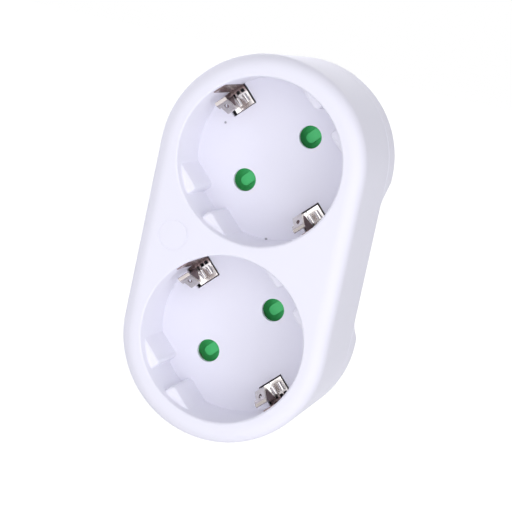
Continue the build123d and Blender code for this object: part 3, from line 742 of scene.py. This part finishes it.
# %% [markdown]
# Rivets hold the strips together: each has a domed head and a shank. Those that join the earth bridge to
# the plug's side contacts have a second head, and the others end flush. Two trees could make the two
# kinds, but one is enough. The double rivets lie near the middle of the adapter, so the tree gives a
# second head to every point that is nearer to the middle than a named reach.

# %% Rivet tree
RIVET_SIZES = {
    "Head Diameter": 3.4 * MM,
    "Head Height": 0.5 * MM,
    "Shank Diameter": 2.0 * MM,
    "Grip": 1.4 * MM,
    "Second Head Reach": 0.0,
}
SHANK_OVERLAP = 0.2


def rivet_tree(name, turn):
    """A tree that grows rivets along one direction: the first head's seat is on the point."""
    tree, source = new_tree(name, RIVET_SIZES)
    head_diameter, head_height, shank_diameter, grip, second_reach = source.outputs[1:6]
    shank_top = number(tree, "MULTIPLY", head_height, SHANK_OVERLAP)
    far_end = number(tree, "MULTIPLY", grip, -1.0)
    headed = [domed_head(tree, head_diameter, head_height), rod(tree, shank_diameter, shank_top, far_end)]
    turned = add_node(tree, "GeometryNodeTransform", {"Rotation": (math.pi, 0, 0)})
    tree.links.new(domed_head(tree, head_diameter, head_height), turned.inputs["Geometry"])
    second = lifted(tree, turned.outputs["Geometry"], far_end)
    x, y, z = position_axes(tree)
    near_middle = number(tree, "LESS_THAN", number(tree, "ABSOLUTE", z), second_reach)
    groups = [copies(tree, source, headed, turn), copies(tree, source, [second], turn, near_middle)]
    close_tree(tree, groups, brass_strip)
    return tree


def rivets(name, solid, points, turn, sizes):
    """Brass rivets on the points, which stand for a solid of the frame."""
    piece = grow(name, rivet_tree(name + "_tree", turn), points, {**RIVET_SIZES, **sizes})
    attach(piece, "housing")
    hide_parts(solid)
    print(name, "rivets:", len(points), "faces:", len(piece.data.polygons))


print("sizes of a rivet:", ", ".join(RIVET_SIZES))

# %% [markdown]
# Four rivets fix the forked contacts to their bars, one behind each pin hole. Their places could be typed
# in, but the frame lists the pin holes, so the rivets follow those, and the plain solid gives their
# depth.

# %% Contact rivets
ALONG_FRONT = (math.radians(90), 0, 0)
pin_holes = [place for name, place in mounts.items() if name.startswith("pin_hole")]
contact_low, contact_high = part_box("contact_rivets")
contact_seat = contact_low.y + RIVET_SIZES["Head Height"]
contact_points = [(place.x, contact_seat, place.z) for place in pin_holes]
contact_sizes = {"Grip": contact_high.y - contact_seat}
rivets("contact_rivet_set", "contact_rivets", contact_points, ALONG_FRONT, contact_sizes)

# %% [markdown]
# Four more rivets are in line on the earth bridge. The outer two fix the earth strips behind the sockets,
# and the inner two fix the plug's side contacts, which lie one strip's thickness further back. The loop
# over both kinds and both ends keeps the four places in step.

# %% Bridge rivets
STRIP_THICKNESS = 0.6 * MM
SIDE_RIVET_HEIGHT = 11.0 * MM
side_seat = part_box("earth_rivets")[1].y - RIVET_SIZES["Head Height"]
bridge_points = [
    (0, seat, side * height)
    for seat, height in ((side_seat, SIDE_RIVET_HEIGHT), (side_seat - STRIP_THICKNESS, SOCKET_HEIGHT))
    for side in (1, -1)
]
bridge_sizes = {"Grip": 2 * STRIP_THICKNESS, "Second Head Reach": 15 * MM}
rivets("bridge_rivet_set", "earth_rivets", bridge_points, ALONG_BACK, bridge_sizes)

# %% [markdown]
# Beside each riser, the earth strip has a small rounded shoulder that closes the gap between the sprung
# leaf and the wall of the recess. A bent plate could be modelled by its corners, but its curve has a
# rule: it is a flat bar swept round a quarter of a circle, from the foot up to the wall. The shoulders on
# the left of the adapter face the other way round from those on the right, so the tree turns each side by
# itself.

# %% Strip shoulders
PIN_LINE = Vector((1, 0, 1)).normalized()
EARTH_LINE = Vector((-1, 0, 1)).normalized()
SHOULDER_SIZES = {"Bend Radius": 0.8 * MM, "Width": 2.3 * MM, "Thickness": 0.2 * MM}
SHOULDER_DEPTH = -22.2 * MM
SHOULDER_ALONG_PINS = -2.1 * MM
SHOULDER_ALONG_EARTH = 18.55 * MM
BEND_POINTS = 12
LEFT_TURN = (0, math.radians(225), 0)
RIGHT_TURN = (0, math.radians(45), 0)

shoulder_tree, shoulder_in = new_tree("strip_shoulder", SHOULDER_SIZES)
bend_radius, width, thickness = shoulder_in.outputs[1:4]
quarter = {"Resolution": BEND_POINTS, "Start Angle": 0.0, "Sweep Angle": math.radians(90)}
bend = add_node(shoulder_tree, "GeometryNodeCurveArc", quarter)
shoulder_tree.links.new(bend_radius, bend.inputs["Radius"])
section = add_node(shoulder_tree, "GeometryNodeCurvePrimitiveQuadrilateral")
shoulder_tree.links.new(thickness, section.inputs["Width"])
shoulder_tree.links.new(width, section.inputs["Height"])
bar = add_node(shoulder_tree, "GeometryNodeCurveToMesh", {"Fill Caps": True})
shoulder_tree.links.new(bend.outputs["Curve"], bar.inputs["Curve"])
shoulder_tree.links.new(section.outputs["Curve"], bar.inputs["Profile Curve"])
one_shoulder = [bar.outputs["Mesh"]]
across = position_axes(shoulder_tree)["X"]
on_left = number(shoulder_tree, "LESS_THAN", across, 0.0)
on_right = number(shoulder_tree, "GREATER_THAN", across, 0.0)
shoulder_groups = [
    copies(shoulder_tree, shoulder_in, one_shoulder, LEFT_TURN, on_left),
    copies(shoulder_tree, shoulder_in, one_shoulder, RIGHT_TURN, on_right),
]
close_tree(shoulder_tree, shoulder_groups, plated_strip)
beside_riser = PIN_LINE * SHOULDER_ALONG_PINS
by_wall = EARTH_LINE * SHOULDER_ALONG_EARTH
shoulder_points = [
    Vector((0, SHOULDER_DEPTH, socket * SOCKET_HEIGHT)) + beside_riser + by_wall * end
    for socket in (1, -1)
    for end in (1, -1)
]
shoulders = grow("strip_shoulders", shoulder_tree, shoulder_points, SHOULDER_SIZES)
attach(shoulders, "housing")
print("shoulders:", len(shoulder_points), "faces:", len(shoulders.data.polygons))

# %% [markdown]
# A coil spring behind each recess pushes its shutter shut. The plain solid has a coil too, but it is
# stiff, and a shutter that slides would run into it. So the wire is wound afresh along the line of the
# pins.

# %% Shutter springs
ALONG_PINS = (0, math.radians(45), 0)
SPRING_SIZES = {"Coil Radius": 1.4 * MM, "Wire Radius": 0.2 * MM, "Turns": 6.0, "Length": 8.6 * MM}
WIRE_SIDES = 10

spring_tree, spring_in = new_tree("coil_spring", SPRING_SIZES)
coil_radius, wire_radius, turns, coil_length = spring_in.outputs[1:5]
spring_start = number(spring_tree, "MULTIPLY", coil_length, -0.5)
winding = coil(spring_tree, coil_radius, wire_radius, turns, coil_length, WIRE_SIDES, spring_start)
close_tree(spring_tree, [copies(spring_tree, spring_in, [winding], ALONG_PINS)], spring_steel)
for side in ("upper", "lower"):
    spring_low, spring_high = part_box(f"shutter_spring_{side}")
    middle = (spring_low + spring_high) / 2
    spring = grow(f"coil_spring_{side}", spring_tree, [middle], SPRING_SIZES)
    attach(spring, "housing")
    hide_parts(f"shutter_spring_{side}")
    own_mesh(spring)
